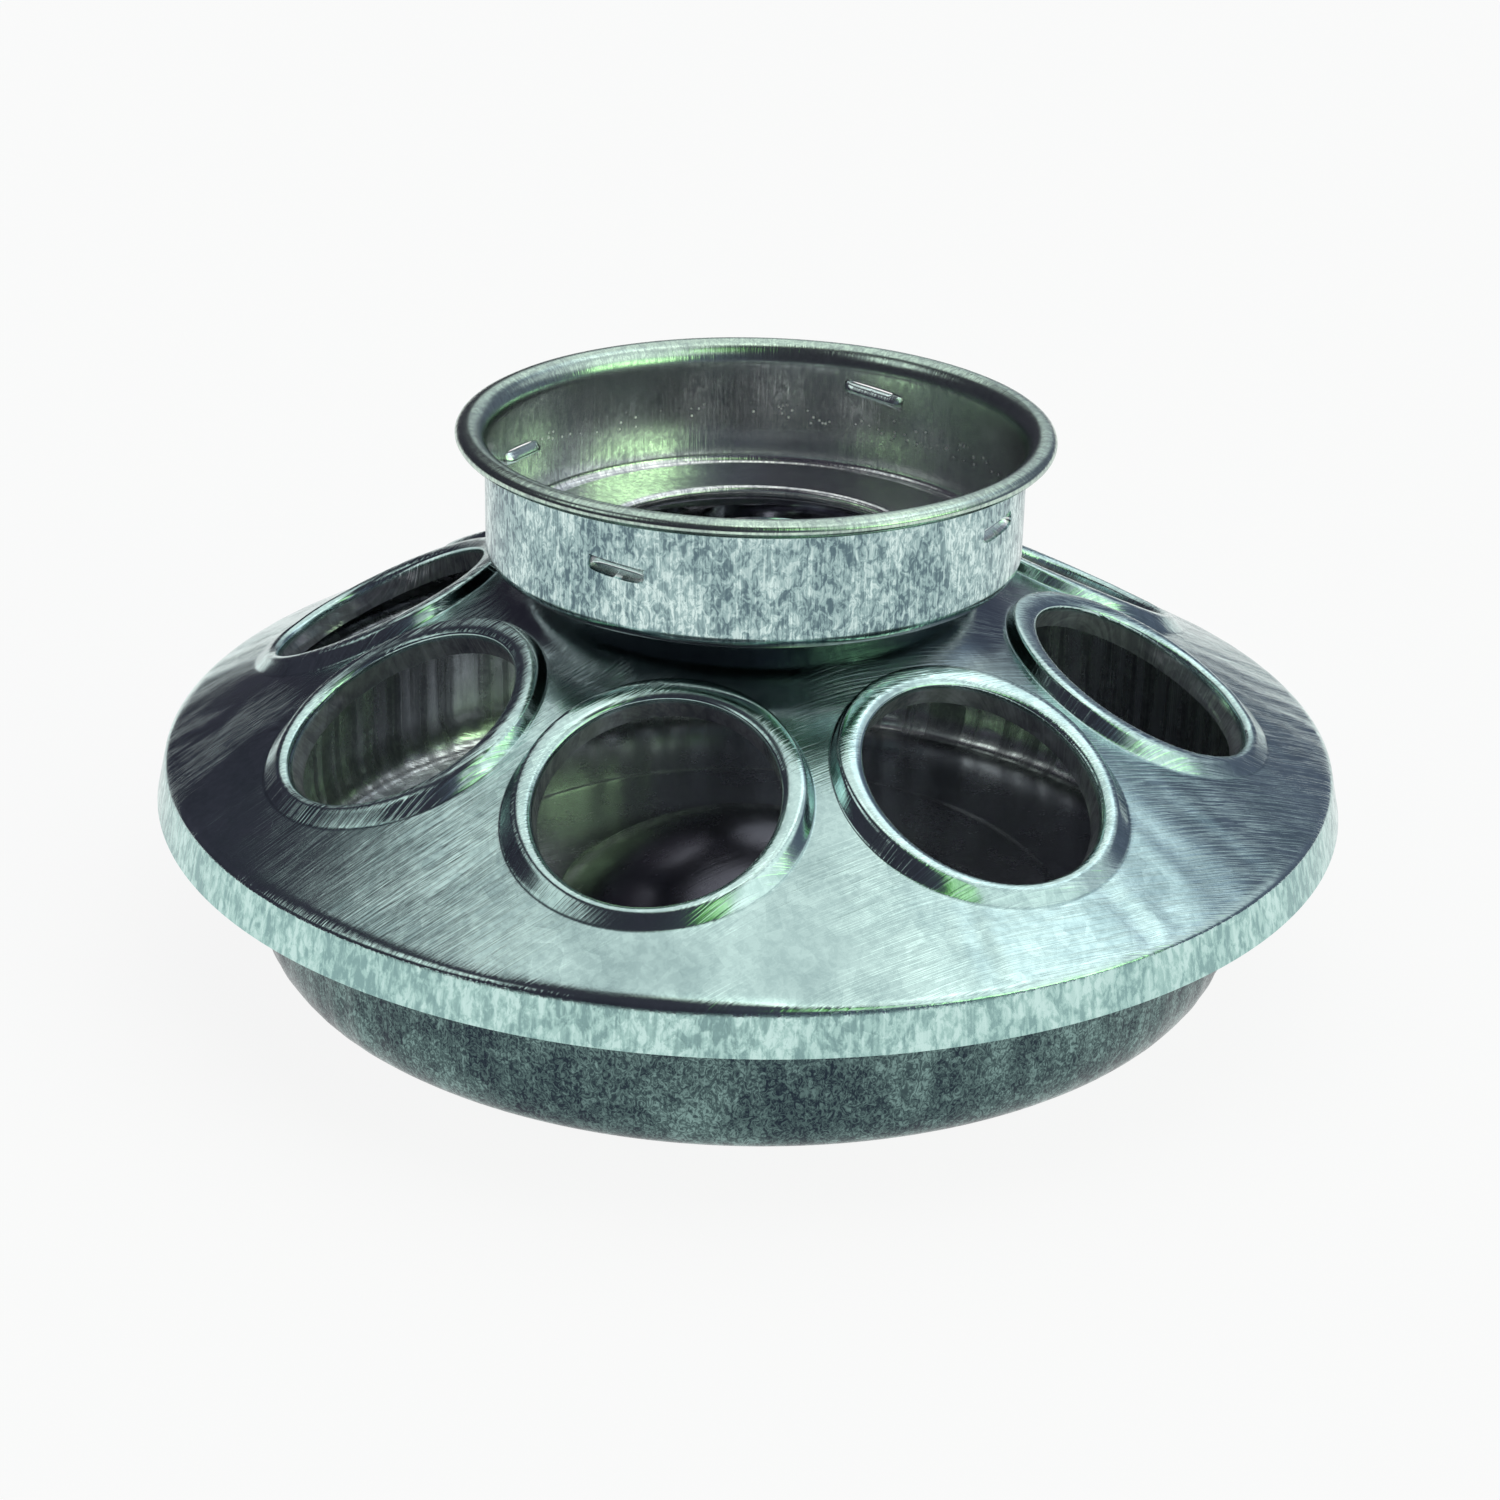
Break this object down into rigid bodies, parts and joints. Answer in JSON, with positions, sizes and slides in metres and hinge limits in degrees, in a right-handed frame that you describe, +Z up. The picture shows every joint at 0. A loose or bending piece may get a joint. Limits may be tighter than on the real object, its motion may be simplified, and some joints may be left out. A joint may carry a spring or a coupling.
{
  "type": "chick feeder",
  "caption": "Round galvanised feeder base: a feed pan, a domed cover with a ring of raised feed holes, and a threaded collar that takes an upturned jar.",
  "frame": {"origin": "centre of the feed pan's underside, on the surface the feeder stands on", "axes": "+Z up along the feeder's own axis; one feed hole faces -Y"},
  "size_m": [0.1642, 0.1642, 0.0729],
  "materials": {
    "pan_zinc": "galvanised, dull mottled spangle with draw marks on the inside",
    "cover_zinc": "galvanised, satin with fine scratches and polished ring crests",
    "collar_zinc": "galvanised, satin with upright spangle mottling"
  },
  "bodies": {
    "pan": {"feed_pan": "pan_zinc"},
    "cover": {"perforated_cover": "cover_zinc", "jar_collar": "collar_zinc"}
  },
  "joints": [
    {"name": "cover_lift", "type": "slide", "parent": "pan", "child": "cover", "axis": [0, 0, 1], "range_m": [0, 0.05]}
  ]
}
